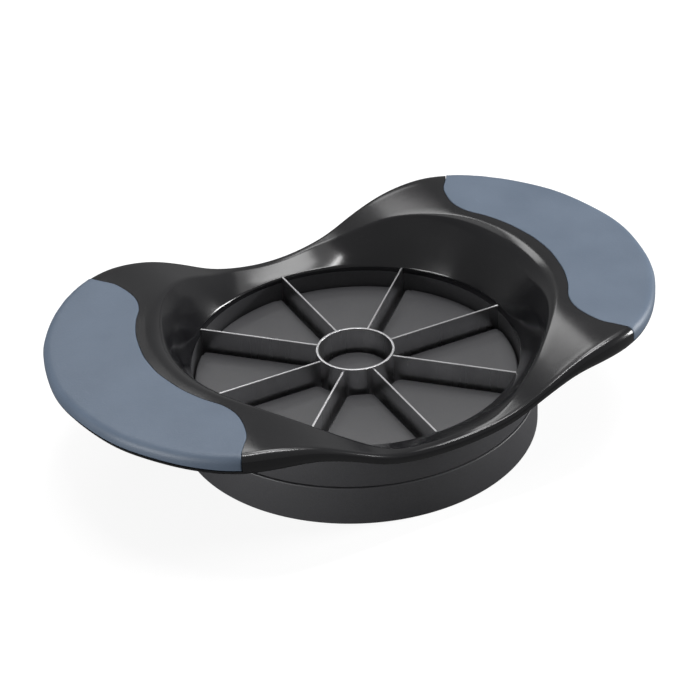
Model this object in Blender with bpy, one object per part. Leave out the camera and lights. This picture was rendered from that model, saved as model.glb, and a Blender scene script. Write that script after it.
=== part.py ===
"""Apple slicer and wedger press with a push-through base.

A glossy frame with two soft-grip wings carries eight straight blades and a core cutter. It is
pressed down over the fruit and comes to rest on a round base, whose raised pads reach up between
the blades and push the wedges clear.

Metres, +Z up. The origin is the centre of the base's underside and X runs from wing to wing.
"""

import bpy
import bmesh
from bisect import bisect_right
from math import atan2, cos, hypot, pi, radians, sin, tau

# Fits between pieces
FIT_GAP = 0.0003
SLIDE_GAP = 0.0006
OVERRUN = 0.0010

# Bore that the fruit passes through, and the collar round it
BORE_RADIUS = 0.0478
COLLAR_WALL = 0.0047
COLLAR_HEIGHT = 0.0087
COLLAR_CHAMFER = 0.0004

# Push-through base
BASE_HEIGHT = 0.0123
BASE_STEP = 0.0004
BASE_WALL = 0.0024
BASE_DECK = 0.0024
BASE_CHAMFER = 0.0003
PAD_HEIGHT = 0.0042
PAD_WALL = 0.0020
PAD_BLADE_GAP = 0.0011
PAD_RING_GAP = 0.0018
PAD_CORNER = 0.0014

# Core cutter and blades
CORE_RADIUS = 0.01075
CORE_WALL = 0.0007
CORE_RISE = 0.0006
BLADE_THICKNESS = 0.0006
BLADE_HEIGHT = 0.0104
BLADE_EDGE = 0.0001
GRIND_HEIGHT = 0.0014
BLADE_COUNT = 8
TONGUE_HEIGHT = 0.0038
TAB_HEIGHT = 0.0056
TAB_REACH = 0.0031
TAB_RISE = 0.0020

# Frame: bowl, saddle, wings and rim
WING_REACH = 0.0383
RIM_OVERHANG = 0.0053
SADDLE_RISE = 0.0037
WING_RISE = 0.0145
WING_WALL = 0.0063
FRAME_WALL = 0.0028
SKIRT_WALL = 0.0026
BOWL_SPREAD = 0.0085
BOWL_LAND = 0.0005
BORE_LIP = 0.0015
BORE_ROUND = 0.0008
WING_SHOULDER = 0.0048
SADDLE_SHOULDER = 0.0010
PEG_RADIUS = 0.0011
PEG_HEIGHT = 0.0016
PEG_COUNT = 4

# Soft grips
GRIP_SKIN = 0.0012
GRIP_LIP = 0.0011

# Rim seen from above and from the side, from the wing's tip to the middle of the long side.
# Columns: share of the half length, share of the half width, share of the wing's rise above the
# saddle, share of the wing's wall height.
RIM_SHARES = (
    (1.000, 0.000, 1.00, 0.81),
    (0.986, 0.198, 1.00, 0.81),
    (0.943, 0.439, 1.00, 0.81),
    (0.871, 0.634, 1.00, 0.82),
    (0.787, 0.792, 1.00, 0.86),
    (0.684, 0.911, 1.01, 0.95),
    (0.573, 0.967, 1.01, 0.98),
    (0.446, 0.989, 0.85, 0.70),
    (0.330, 1.000, 0.54, 0.52),
    (0.220, 0.997, 0.21, 0.50),
    (0.110, 0.990, 0.05, 0.50),
    (0.000, 0.986, 0.00, 0.50),
)

# Inner edge of a grip, from the wing's middle line out over the rim.
# Columns: share of the half length, share of the half width.
GRIP_SHARES = (
    (0.698, 0.060),
    (0.691, 0.140),
    (0.671, 0.273),
    (0.638, 0.398),
    (0.598, 0.507),
    (0.585, 0.622),
    (0.604, 0.763),
    (0.637, 0.842),
    (0.659, 0.893),
    (0.687, 0.990),
    (0.697, 1.100),
)

# Shape of the edges, as shares
EDGE_ROUND_SHARE = 0.38
EDGE_TUCK_SHARE = 0.22
SHOULDER_INNER_SHARE = 0.45
GRIP_START_SHARE = 0.90
GRIP_SPAN_SHARE = 0.50

# Angles
SHOULDER_FROM = radians(22)
SHOULDER_TO = radians(58)
PEG_ANGLE = radians(22.5)
SMOOTH_ANGLE = radians(32)

# Facets
SPAN_STEPS = 2
LOOKUP_STEPS = 16
TOP_ROWS = 4
SHOULDER_ROWS = 4
BORE_ROWS = 2
ROUND_ROWS = 3
RING_SEGMENTS = 96
CORE_SEGMENTS = 48
CORNER_SEGMENTS = 3
ARC_SEGMENTS = 8
PEG_SEGMENTS = 12

# Sizes worked out from the ones above
COLLAR_RADIUS = BORE_RADIUS + COLLAR_WALL
COLLAR_BOTTOM = BASE_HEIGHT + FIT_GAP
COLLAR_TOP = COLLAR_BOTTOM + COLLAR_HEIGHT
SEAT_HEIGHT = COLLAR_TOP + FIT_GAP
BOWL_BOTTOM = SEAT_HEIGHT + BORE_LIP
SADDLE_TOP = COLLAR_TOP + SADDLE_RISE
WING_TOP = SADDLE_TOP + WING_RISE
HALF_LENGTH = COLLAR_RADIUS + WING_REACH
HALF_WIDTH = COLLAR_RADIUS + RIM_OVERHANG
BASE_RADIUS = COLLAR_RADIUS + BASE_STEP
LIP_RADIUS = BORE_RADIUS + BOWL_SPREAD
GRIP_LIMIT = HALF_LENGTH * GRIP_SPAN_SHARE
GRIP_START = (LIP_RADIUS + WING_SHOULDER) * GRIP_START_SHARE
PAD_TOP = BASE_HEIGHT + PAD_HEIGHT
PAD_OUTER_RADIUS = BORE_RADIUS - SLIDE_GAP
CORE_OUTER_RADIUS = CORE_RADIUS + CORE_WALL
BLADE_BOTTOM = COLLAR_BOTTOM + FIT_GAP
BLADE_TOP = BLADE_BOTTOM + BLADE_HEIGHT
BLADE_INNER_RADIUS = CORE_OUTER_RADIUS + FIT_GAP
BLADE_OUTER_RADIUS = BORE_RADIUS - FIT_GAP
TAB_BOTTOM = BLADE_BOTTOM + TAB_RISE
TAB_TOP = TAB_BOTTOM + TAB_HEIGHT
TAB_RADIUS = BORE_RADIUS + TAB_REACH
TONGUE_BOTTOM = BLADE_BOTTOM + (BLADE_HEIGHT - TONGUE_HEIGHT) / 2
TONGUE_TOP = TONGUE_BOTTOM + TONGUE_HEIGHT
SLOT_WIDTH = BLADE_THICKNESS + 2 * FIT_GAP
PEG_RING_RADIUS = BORE_RADIUS + COLLAR_WALL / 2


def clear_scene():
    for item in list(bpy.data.objects):
        bpy.data.objects.remove(item)


def finish(name, color, roughness, metallic=0.0):
    """A plain Principled material."""
    material = bpy.data.materials.new(name)
    material.use_nodes = True
    shader = material.node_tree.nodes["Principled BSDF"]
    shader.inputs["Base Color"].default_value = (*color, 1.0)
    shader.inputs["Roughness"].default_value = roughness
    shader.inputs["Metallic"].default_value = metallic
    return material


def solid(name, points, faces, material=None):
    """An object from points and faces, with its faces turned outward."""
    mesh = bpy.data.meshes.new(name)
    mesh.from_pydata(points, [], faces)
    shape = bmesh.new()
    shape.from_mesh(mesh)
    bmesh.ops.recalc_face_normals(shape, faces=shape.faces)
    if shape.calc_volume(signed=True) < 0:
        bmesh.ops.reverse_faces(shape, faces=shape.faces)
    shape.to_mesh(mesh)
    shape.free()
    mesh.shade_smooth()
    mesh.set_sharp_from_angle(angle=SMOOTH_ANGLE)
    item = bpy.data.objects.new(name, mesh)
    bpy.context.scene.collection.objects.link(item)
    if material:
        mesh.materials.append(material)
    return item


def rings_solid(name, rings, material=None, closed=True):
    """A tube-like body whose section runs through the rings in turn and back to the first.

    Each ring is a list of points. With closed off, the rings are open strips and both of their
    ends are capped by one face each.
    """
    count = len(rings[0])
    points = [point for ring in rings for point in ring]
    faces = []
    spans = count if closed else count - 1
    for row in range(len(rings)):
        here = row * count
        there = (row + 1) % len(rings) * count
        for k in range(spans):
            after = (k + 1) % count
            faces.append((here + k, here + after, there + after, there + k))
    if not closed:
        faces.append(tuple(row * count for row in range(len(rings))))
        faces.append(tuple(row * count + count - 1 for row in range(len(rings))))
    return solid(name, points, faces, material)


def turned(name, profile, segments, material=None):
    """A body of revolution from a closed profile of (radius, height) points."""
    rings = []
    for radius, height in profile:
        ring = []
        for k in range(segments):
            angle = tau * k / segments
            ring.append((radius * cos(angle), radius * sin(angle), height))
        rings.append(ring)
    return rings_solid(name, rings, material)


def disc_body(name, profile, segments, material=None):
    """A body of revolution whose profile starts and ends on the axis."""
    points = [(0.0, 0.0, profile[0][1])]
    for radius, height in profile[1:-1]:
        for k in range(segments):
            angle = tau * k / segments
            points.append((radius * cos(angle), radius * sin(angle), height))
    points.append((0.0, 0.0, profile[-1][1]))
    last = len(points) - 1
    rows = len(profile) - 2
    faces = []
    for k in range(segments):
        after = (k + 1) % segments
        faces.append((0, 1 + k, 1 + after))
        for row in range(rows - 1):
            here = 1 + row * segments
            there = here + segments
            faces.append((here + k, there + k, there + after, here + after))
        final = 1 + (rows - 1) * segments
        faces.append((final + k, last, final + after))
    return solid(name, points, faces, material)


def prism_parts(outlines, low, high):
    """Points and faces of upright prisms, one for each plan outline."""
    points = []
    faces = []
    for outline in outlines:
        start = len(points)
        count = len(outline)
        points.extend((x, y, low) for x, y in outline)
        points.extend((x, y, high) for x, y in outline)
        faces.append(tuple(range(start, start + count)))
        faces.append(tuple(range(start + count, start + 2 * count)))
        for k in range(count):
            after = (k + 1) % count
            faces.append((start + k, start + after, start + count + after, start + count + k))
    return points, faces


def prisms(name, outlines, low, high):
    points, faces = prism_parts(outlines, low, high)
    return solid(name, points, faces)


def hide_tool(item):
    item.hide_render = True
    item.display_type = "WIRE"
    return item


def combine(item, tool, operation):
    """Cut, join or intersect with another body, which stays as a hidden tool."""
    modifier = item.modifiers.new(operation.lower(), "BOOLEAN")
    modifier.operation = operation
    modifier.solver = "EXACT"
    modifier.object = hide_tool(tool)


def blade_angles():
    return [tau * k / BLADE_COUNT for k in range(BLADE_COUNT)]


def turn_plan(outline, angle):
    c = cos(angle)
    s = sin(angle)
    return [(c * x - s * y, s * x + c * y) for x, y in outline]


def radial_bar(inner, outer, width, angle):
    """Plan outline of a straight bar along a radius."""
    half = width / 2
    return turn_plan([(inner, -half), (outer, -half), (outer, half), (inner, half)], angle)


def circle(radius, segments, centre=(0.0, 0.0)):
    points = []
    for k in range(segments):
        angle = tau * k / segments
        points.append((centre[0] + radius * cos(angle), centre[1] + radius * sin(angle)))
    return points


# Smooth curves through points


def spline(before, start, end, after, share):
    """One value on a Catmull-Rom curve between start and end."""
    a = 2 * start
    b = end - before
    c = 2 * before - 5 * start + 4 * end - after
    d = 3 * (start - end) + after - before
    return (a + b * share + c * share ** 2 + d * share ** 3) / 2


def smooth_path(rows, steps, closed):
    """Points on a smooth curve through rows of values."""
    count = len(rows)
    path = []
    for k in range(count if closed else count - 1):
        around = []
        for offset in (-1, 0, 1, 2):
            if closed:
                around.append(rows[(k + offset) % count])
            else:
                around.append(rows[min(max(k + offset, 0), count - 1)])
        for step in range(steps):
            path.append(tuple(spline(*values, step / steps) for values in zip(*around)))
    if not closed:
        path.append(tuple(rows[-1]))
    return path


def smooth_step(value, low, high):
    share = min(max((value - low) / (high - low), 0.0), 1.0)
    return share * share * (3 - 2 * share)


# The rim: a closed curve of (x, y, top height, wall height)


def rim_rows():
    quarter = []
    for length, width, rise, wall in RIM_SHARES:
        top = SADDLE_TOP + WING_RISE * rise
        quarter.append((HALF_LENGTH * length, HALF_WIDTH * width, top, WING_WALL * wall))
    inner = quarter[1:-1]
    rows = list(quarter)
    rows.extend((-x, y, z, wall) for x, y, z, wall in reversed(inner))
    rows.append((-quarter[0][0], 0.0, quarter[0][2], quarter[0][3]))
    rows.extend((-x, -y, z, wall) for x, y, z, wall in inner)
    rows.append((0.0, -quarter[-1][1], quarter[-1][2], quarter[-1][3]))
    rows.extend((x, -y, z, wall) for x, y, z, wall in reversed(inner))
    return rows


class Saddle:
    """The frame's upper surface outside the bowl: its height depends only on the distance
    along the wings."""

    def __init__(self):
        quarter = rim_rows()[:len(RIM_SHARES)]
        path = smooth_path(quarter, LOOKUP_STEPS, False)
        table = sorted((x, z) for x, y, z, wall in path)
        self.across = [row[0] for row in table]
        self.heights = [row[1] for row in table]

    def height(self, x):
        across = min(abs(x), self.across[-1])
        k = min(max(bisect_right(self.across, across), 1), len(self.across) - 1)
        span = self.across[k] - self.across[k - 1]
        share = (across - self.across[k - 1]) / span
        return self.heights[k - 1] + (self.heights[k] - self.heights[k - 1]) * share


class Column:
    """One upright section of the frame, from the bore out to the rim."""

    def __init__(self, saddle, before, here, after):
        self.saddle = saddle
        self.x, self.y, self.top, self.wall = here
        run_x = after[0] - before[0]
        run_y = after[1] - before[1]
        length = hypot(run_x, run_y)
        self.out = (run_y / length, -run_x / length)
        self.radius = hypot(self.x, self.y)
        self.ray = (self.x / self.radius, self.y / self.radius)
        self.round = EDGE_ROUND_SHARE * self.wall
        self.tuck = EDGE_TUCK_SHARE * self.wall
        self.low = self.top - self.wall
        off_axis = atan2(abs(self.y), abs(self.x))
        soft = 1 - smooth_step(off_axis, SHOULDER_FROM, SHOULDER_TO)
        self.shoulder = SADDLE_SHOULDER + (WING_SHOULDER - SADDLE_SHOULDER) * soft
        self.lip = min(LIP_RADIUS, self.radius - self.round - self.shoulder - BOWL_LAND)
        self.lip_height = self.saddle_height(self.lip)
        self.slope = (self.lip_height - BOWL_BOTTOM) / (self.lip - BORE_RADIUS)

    def saddle_height(self, radius):
        return self.saddle.height(self.ray[0] * radius)

    def bowl_height(self, radius):
        return BOWL_BOTTOM + self.slope * (radius - BORE_RADIUS)

    def on_ray(self, radius, height):
        return self.ray[0] * radius, self.ray[1] * radius, height

    def rim_point(self, inset, height):
        return self.x - self.out[0] * inset, self.y - self.out[1] * inset, height

    def bore_points(self):
        """The bore's face and the rounded edge between it and the bowl's wall."""
        run = BORE_ROUND / hypot(1.0, self.slope)
        first = (BORE_RADIUS, BOWL_BOTTOM - BORE_ROUND)
        middle = (BORE_RADIUS, BOWL_BOTTOM)
        last = (BORE_RADIUS + run, self.bowl_height(BORE_RADIUS + run))
        points = [self.on_ray(BORE_RADIUS, SEAT_HEIGHT)]
        for row in range(BORE_ROWS + 1):
            points.append(self.on_ray(*bend_point(first, middle, last, row / BORE_ROWS)))
        return points

    def shoulder_points(self):
        """The rounded edge between the bowl's wall and the saddle."""
        inner = self.lip - SHOULDER_INNER_SHARE * self.shoulder
        outer = self.lip + self.shoulder
        first = (inner, self.bowl_height(inner))
        middle = (self.lip, self.lip_height)
        last = (outer, self.saddle_height(outer))
        points = []
        for row in range(SHOULDER_ROWS + 1):
            points.append(self.on_ray(*bend_point(first, middle, last, row / SHOULDER_ROWS)))
        return points

    def top_points(self, start, rows, lift=0.0):
        """Points on the saddle from a radius out to where the rim's rounding starts."""
        x0, y0, height = self.on_ray(start, 0.0)
        x1, y1, height = self.rim_point(self.round, 0.0)
        points = []
        for row in range(rows):
            share = row / rows
            x = x0 + (x1 - x0) * share
            y = y0 + (y1 - y0) * share
            points.append((x, y, self.saddle.height(x) + lift))
        return points

    def rim_points(self, bottom, lift=0.0):
        """Points round the rim's rounding and down its wall to a height."""
        centre = self.top - self.round
        reach = self.round + lift
        points = []
        for row in range(ROUND_ROWS + 1):
            turn = pi / 2 * (1 - row / ROUND_ROWS)
            points.append(self.rim_point(self.round - reach * cos(turn), centre + reach * sin(turn)))
        points.append(self.rim_point(-lift, bottom))
        return points

    def under_points(self):
        """The hollow underside, from the foot of the rim's wall in to the collar."""
        x0, y0, height = self.rim_point(SKIRT_WALL, 0.0)
        thick = FRAME_WALL * hypot(1.0, self.slope)
        corner = self.lip + (thick - FRAME_WALL) / self.slope
        x1, y1, height = self.on_ray(min(corner, hypot(x0, y0) - SKIRT_WALL / 2), 0.0)
        points = [(x0, y0, self.low)]
        for share in (0.0, 1 / 2, 1.0):
            x = x0 + (x1 - x0) * share
            y = y0 + (y1 - y0) * share
            points.append((x, y, self.saddle.height(x) - FRAME_WALL))
        foot = self.bowl_height(COLLAR_RADIUS) - thick
        points.append(self.on_ray(COLLAR_RADIUS, max(foot, SEAT_HEIGHT + FIT_GAP)))
        points.append(self.on_ray(COLLAR_RADIUS, SEAT_HEIGHT))
        return points

    def section(self):
        """The frame's closed outline at this column."""
        points = self.bore_points() + self.shoulder_points()
        points.extend(self.top_points(self.lip + self.shoulder, TOP_ROWS)[1:])
        points.extend(self.rim_points(self.low + GRIP_LIP))
        points.append(self.rim_point(self.tuck, self.low))
        points.extend(self.under_points())
        return points


def bend_point(first, middle, last, share):
    """A point on the curve that leaves the first point and arrives at the last one by way of
    the middle one."""
    weights = ((1 - share) ** 2, 2 * share * (1 - share), share ** 2)
    return tuple(
        weights[0] * first[axis] + weights[1] * middle[axis] + weights[2] * last[axis]
        for axis in range(2)
    )


def frame_columns():
    saddle = Saddle()
    path = smooth_path(rim_rows(), SPAN_STEPS, True)
    count = len(path)
    columns = []
    for k in range(count):
        columns.append(Column(saddle, path[k - 1], path[k], path[(k + 1) % count]))
    return columns


def grip_edge():
    """Plan curve of a grip's inner edge on the +X wing, from -Y to +Y."""
    half = [(HALF_LENGTH * length, HALF_WIDTH * width) for length, width in GRIP_SHARES]
    rows = [(x, -y) for x, y in reversed(half)] + half
    return smooth_path(rows, CORNER_SEGMENTS, False)


def grip_outline(side, gap):
    """Plan outline that holds a grip, grown inward by a gap, on the wing at side +1 or -1."""
    edge = grip_edge()
    outline = []
    for k, (x, y) in enumerate(edge):
        before = edge[max(k - 1, 0)]
        after = edge[min(k + 1, len(edge) - 1)]
        run_x = after[0] - before[0]
        run_y = after[1] - before[1]
        length = hypot(run_x, run_y)
        outline.append((x - gap * run_y / length, y + gap * run_x / length))
    far = HALF_LENGTH + WING_WALL
    outline.append((far, outline[-1][1]))
    outline.append((far, outline[0][1]))
    return [(side * x, y) for x, y in outline]


def grip_layer(name, columns, side, outside, inside, lift_bottom, material=None):
    """A layer that follows the wing's upper surface, rim and wall, between two offsets."""
    strip = [column for column in columns if column.x * side > GRIP_LIMIT]
    strip.sort(key=lambda column: column.y)
    sections = []
    for column in strip:
        bottom = column.low + lift_bottom
        layers = []
        for lift in (outside, inside):
            top = column.top_points(GRIP_START, TOP_ROWS, lift)
            layers.append(top + column.rim_points(bottom, lift))
        sections.append(layers[0] + list(reversed(layers[1])))
    rings = [list(ring) for ring in zip(*sections)]
    return rings_solid(name, rings, material, closed=False)


def make_frame(columns, material):
    """The glossy frame, with a recess for each grip and blind holes for the collar's pegs."""
    rings = [list(ring) for ring in zip(*(column.section() for column in columns))]
    frame = rings_solid("upper_frame", rings, material)
    for side, label in ((1, "right"), (-1, "left")):
        depth = -(GRIP_SKIN + FIT_GAP)
        pocket = grip_layer("recess_" + label, columns, side, OVERRUN, depth, GRIP_LIP - FIT_GAP)
        area = prisms("recess_area_" + label, [grip_outline(side, FIT_GAP)], 0.0, 2 * WING_TOP)
        combine(pocket, area, "INTERSECT")
        combine(frame, pocket, "DIFFERENCE")
    holes = []
    for centre in peg_centres():
        holes.append(circle(PEG_RADIUS + FIT_GAP, PEG_SEGMENTS, centre))
    top = COLLAR_TOP + PEG_HEIGHT + FIT_GAP
    combine(frame, prisms("peg_holes", holes, COLLAR_TOP, top), "DIFFERENCE")
    return frame


def make_grip(columns, side, label, material):
    grip = grip_layer("grip_" + label, columns, side, 0.0, -GRIP_SKIN, GRIP_LIP, material)
    area = prisms("grip_area_" + label, [grip_outline(side, 0.0)], 0.0, 2 * WING_TOP)
    combine(grip, area, "INTERSECT")
    return grip


def peg_centres():
    centres = []
    for k in range(PEG_COUNT):
        quarter = (k + 1) // 2 * pi
        turn = PEG_ANGLE if k % 2 == 0 else -PEG_ANGLE
        angle = quarter + turn
        centres.append((PEG_RING_RADIUS * cos(angle), PEG_RING_RADIUS * sin(angle)))
    return centres


def make_collar(material):
    """The ring that holds the blades' outer ends, with a slot for each and four locating pegs."""
    profile = [
        (BORE_RADIUS, COLLAR_BOTTOM),
        (COLLAR_RADIUS - COLLAR_CHAMFER, COLLAR_BOTTOM),
        (COLLAR_RADIUS, COLLAR_BOTTOM + COLLAR_CHAMFER),
        (COLLAR_RADIUS, COLLAR_TOP),
        (BORE_RADIUS, COLLAR_TOP),
    ]
    collar = turned("blade_collar", profile, RING_SEGMENTS, material)
    pegs = [circle(PEG_RADIUS, PEG_SEGMENTS, centre) for centre in peg_centres()]
    low = COLLAR_TOP - PEG_HEIGHT
    combine(collar, prisms("collar_pegs", pegs, low, COLLAR_TOP + PEG_HEIGHT), "UNION")
    inner = BORE_RADIUS - OVERRUN
    outer = TAB_RADIUS + FIT_GAP
    slots = [radial_bar(inner, outer, SLOT_WIDTH, angle) for angle in blade_angles()]
    tool = prisms("collar_slots", slots, TAB_BOTTOM - FIT_GAP, COLLAR_TOP + OVERRUN)
    combine(collar, tool, "DIFFERENCE")
    return collar


def make_core_ring(material):
    """The steel tube that cuts out the core, sharpened below and slotted for the blades."""
    mid = CORE_RADIUS + CORE_WALL / 2
    half_edge = BLADE_EDGE / 2
    profile = [
        (mid - half_edge, BLADE_BOTTOM),
        (mid + half_edge, BLADE_BOTTOM),
        (CORE_OUTER_RADIUS, BLADE_BOTTOM + GRIND_HEIGHT),
        (CORE_OUTER_RADIUS, BLADE_TOP + CORE_RISE),
        (CORE_RADIUS, BLADE_TOP + CORE_RISE),
        (CORE_RADIUS, BLADE_BOTTOM + GRIND_HEIGHT),
    ]
    ring = turned("core_ring", profile, CORE_SEGMENTS, material)
    inner = CORE_RADIUS - OVERRUN
    outer = CORE_OUTER_RADIUS + OVERRUN
    slots = [radial_bar(inner, outer, SLOT_WIDTH, angle) for angle in blade_angles()]
    tool = prisms("core_slots", slots, TONGUE_BOTTOM - FIT_GAP, TONGUE_TOP + FIT_GAP)
    combine(ring, tool, "DIFFERENCE")
    return ring


def make_blade(name, angle, material):
    """A straight blade with a ground lower edge, a tongue for the ring and a tab for the collar."""
    half = BLADE_THICKNESS / 2
    edge = BLADE_EDGE / 2
    grind = BLADE_BOTTOM + GRIND_HEIGHT
    tongue = CORE_RADIUS
    outline = [
        (BLADE_INNER_RADIUS, BLADE_BOTTOM, edge),
        (BLADE_OUTER_RADIUS, BLADE_BOTTOM, edge),
        (BLADE_OUTER_RADIUS, grind, half),
        (BLADE_OUTER_RADIUS, TAB_BOTTOM, half),
        (TAB_RADIUS, TAB_BOTTOM, half),
        (TAB_RADIUS, TAB_TOP, half),
        (BLADE_OUTER_RADIUS, TAB_TOP, half),
        (BLADE_OUTER_RADIUS, BLADE_TOP, half),
        (BLADE_INNER_RADIUS, BLADE_TOP, half),
        (BLADE_INNER_RADIUS, TONGUE_TOP, half),
        (tongue, TONGUE_TOP, half),
        (tongue, TONGUE_BOTTOM, half),
        (BLADE_INNER_RADIUS, TONGUE_BOTTOM, half),
        (BLADE_INNER_RADIUS, grind, half),
    ]
    count = len(outline)
    points = [(radius, -reach, height) for radius, height, reach in outline]
    points.extend((radius, reach, height) for radius, height, reach in outline)
    faces = []
    for start in (0, count):
        faces.append(tuple(start + k for k in (0, 1, 2, 13)))
        faces.append(tuple(start + k for k in range(2, 14)))
    for k in range(count):
        after = (k + 1) % count
        faces.append((k, after, count + after, count + k))
    blade = solid(name, points, faces, material)
    blade.rotation_euler = (0.0, 0.0, angle)
    return blade


def rounded(corners, radius):
    """A plan outline with each corner rounded."""
    outline = []
    count = len(corners)
    for k, (x, y) in enumerate(corners):
        before = corners[k - 1]
        after = corners[(k + 1) % count]
        to_before = hypot(before[0] - x, before[1] - y)
        to_after = hypot(after[0] - x, after[1] - y)
        reach = min(radius, to_before / 2, to_after / 2)
        first = (x + (before[0] - x) * reach / to_before, y + (before[1] - y) * reach / to_before)
        last = (x + (after[0] - x) * reach / to_after, y + (after[1] - y) * reach / to_after)
        for step in range(CORNER_SEGMENTS + 1):
            outline.append(bend_point(first, (x, y), last, step / CORNER_SEGMENTS))
    return outline


def wedge_outline(inner, outer, side_gap, corner, angle):
    """Plan outline of a pad between two blades, with sides parallel to them."""
    half_turn = pi / BLADE_COUNT
    near = half_turn - side_gap / inner
    far = half_turn - side_gap / outer
    corners = [(inner * cos(near), -inner * sin(near))]
    for k in range(ARC_SEGMENTS + 1):
        turn = far * (2 * k / ARC_SEGMENTS - 1)
        corners.append((outer * cos(turn), outer * sin(turn)))
    corners.append((inner * cos(near), inner * sin(near)))
    ends = rounded([corners[0], corners[1], corners[-2], corners[-1]], corner)
    steps = CORNER_SEGMENTS + 1
    outline = ends[:2 * steps] + corners[2:-2] + ends[2 * steps:]
    return turn_plan(outline, angle)


def pad_outlines(inset):
    """Plan outlines of the eight wedge pads and the middle pad, drawn in by an inset."""
    inner = CORE_OUTER_RADIUS + PAD_RING_GAP + inset
    outer = PAD_OUTER_RADIUS - inset
    gap = BLADE_THICKNESS / 2 + PAD_BLADE_GAP + inset
    outlines = []
    for angle in blade_angles():
        middle = angle + pi / BLADE_COUNT
        outlines.append(wedge_outline(inner, outer, gap, PAD_CORNER, middle))
    outlines.append(circle(CORE_RADIUS - PAD_BLADE_GAP - inset, CORE_SEGMENTS // 2))
    return outlines


def make_base(material):
    """The push-through base: a skirted disc with raised pads that are hollow below."""
    deck = BASE_HEIGHT - BASE_DECK
    profile = [
        (0.0, BASE_HEIGHT),
        (BASE_RADIUS - BASE_CHAMFER, BASE_HEIGHT),
        (BASE_RADIUS, BASE_HEIGHT - BASE_CHAMFER),
        (BASE_RADIUS, BASE_CHAMFER),
        (BASE_RADIUS - BASE_CHAMFER, 0.0),
        (BASE_RADIUS - BASE_WALL, 0.0),
        (BASE_RADIUS - BASE_WALL, deck),
        (0.0, deck),
    ]
    base = disc_body("push_base", profile, RING_SEGMENTS, material)
    pads = prisms("base_pads", pad_outlines(0.0), BASE_HEIGHT - BASE_DECK / 2, PAD_TOP)
    combine(base, pads, "UNION")
    pockets = prisms("base_pockets", pad_outlines(PAD_WALL), 0.0, PAD_TOP - PAD_WALL)
    combine(base, pockets, "DIFFERENCE")
    return base


def build():
    clear_scene()
    satin = finish("satin_black_plastic", (0.045, 0.045, 0.050), 0.48)
    gloss = finish("gloss_black_plastic", (0.020, 0.020, 0.023), 0.14)
    soft = finish("soft_grip_grey", (0.150, 0.190, 0.235), 0.62)
    steel = finish("blade_steel", (0.62, 0.62, 0.63), 0.22, 1.0)
    columns = frame_columns()
    make_base(satin)
    make_collar(satin)
    make_frame(columns, gloss)
    make_grip(columns, 1, "right", soft)
    make_grip(columns, -1, "left", soft)
    make_core_ring(steel)
    for number, angle in enumerate(blade_angles(), start=1):
        make_blade("blade_%d" % number, angle, steel)


build()
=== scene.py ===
# %% [markdown]
# # A hand slicer with a push-through base
#
# The tool is pressed down by its two wings: eight blades cut wedges, a steel ring cuts out the
# core, and the raised pads of the round base push the pieces clear. Its shape comes from a packed
# engineering model, which stays as it is. This lesson gives it its camera, its light and its
# finishes: glossy black plastic, satin black plastic, soft grey grips and ground steel.

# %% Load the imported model
from bisect import bisect_right
from math import atan2, cos, floor as floor_of, hypot, pi, radians, sin, sqrt

import bmesh
import bpy
from mathutils import Matrix, Vector


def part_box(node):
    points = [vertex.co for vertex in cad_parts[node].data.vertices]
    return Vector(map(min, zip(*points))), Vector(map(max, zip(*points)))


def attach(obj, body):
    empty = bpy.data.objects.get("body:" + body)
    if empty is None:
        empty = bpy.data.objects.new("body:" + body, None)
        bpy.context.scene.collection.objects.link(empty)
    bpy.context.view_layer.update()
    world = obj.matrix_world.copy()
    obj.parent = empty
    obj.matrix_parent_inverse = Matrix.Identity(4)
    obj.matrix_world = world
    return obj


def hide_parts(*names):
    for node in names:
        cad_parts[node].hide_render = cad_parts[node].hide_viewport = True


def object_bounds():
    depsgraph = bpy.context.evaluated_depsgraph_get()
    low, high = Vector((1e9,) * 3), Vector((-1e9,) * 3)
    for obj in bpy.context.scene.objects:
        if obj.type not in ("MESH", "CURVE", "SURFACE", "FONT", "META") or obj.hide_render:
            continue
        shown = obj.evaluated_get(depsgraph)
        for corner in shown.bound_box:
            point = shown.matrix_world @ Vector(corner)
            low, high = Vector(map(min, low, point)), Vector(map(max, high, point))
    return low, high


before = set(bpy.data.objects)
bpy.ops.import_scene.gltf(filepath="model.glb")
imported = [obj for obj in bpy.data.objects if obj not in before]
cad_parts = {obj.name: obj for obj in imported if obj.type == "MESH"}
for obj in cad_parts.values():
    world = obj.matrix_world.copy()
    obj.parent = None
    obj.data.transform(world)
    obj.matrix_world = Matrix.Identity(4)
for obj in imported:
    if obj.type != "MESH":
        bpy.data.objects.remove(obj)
cad_box = [list(corner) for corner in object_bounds()]
scene = bpy.context.scene
print("box of the solids, in metres:", cad_box)

# %% [markdown]
# ## Camera
#
# A photograph can be matched by eye, but a measured camera is more exact.
# The base is a circle, so its ellipse in the picture gives the direction and the distance of the
# camera. The camera looks down by 33 degrees from the front left and uses a long lens, which is
# why the two wings look almost the same size.

# %% Place the camera
# Radius of the circle to which the camera was fitted. Its distance and its shifts follow it.
FITTED_RADIUS = 0.0525
CAMERA_AZIMUTH = -0.4551888
CAMERA_ELEVATION = 0.5730638
CAMERA_ROLL = -0.0474111
CAMERA_DISTANCE = 12.9486 * FITTED_RADIUS
CAMERA_RIGHT = 0.0472986 * FITTED_RADIUS
CAMERA_UP = -0.3726559 * FITTED_RADIUS
SENSOR_WIDTH = 36.0
PICTURE_WIDTH = 700.0
FOCAL_PIXELS = 2296.0


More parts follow.
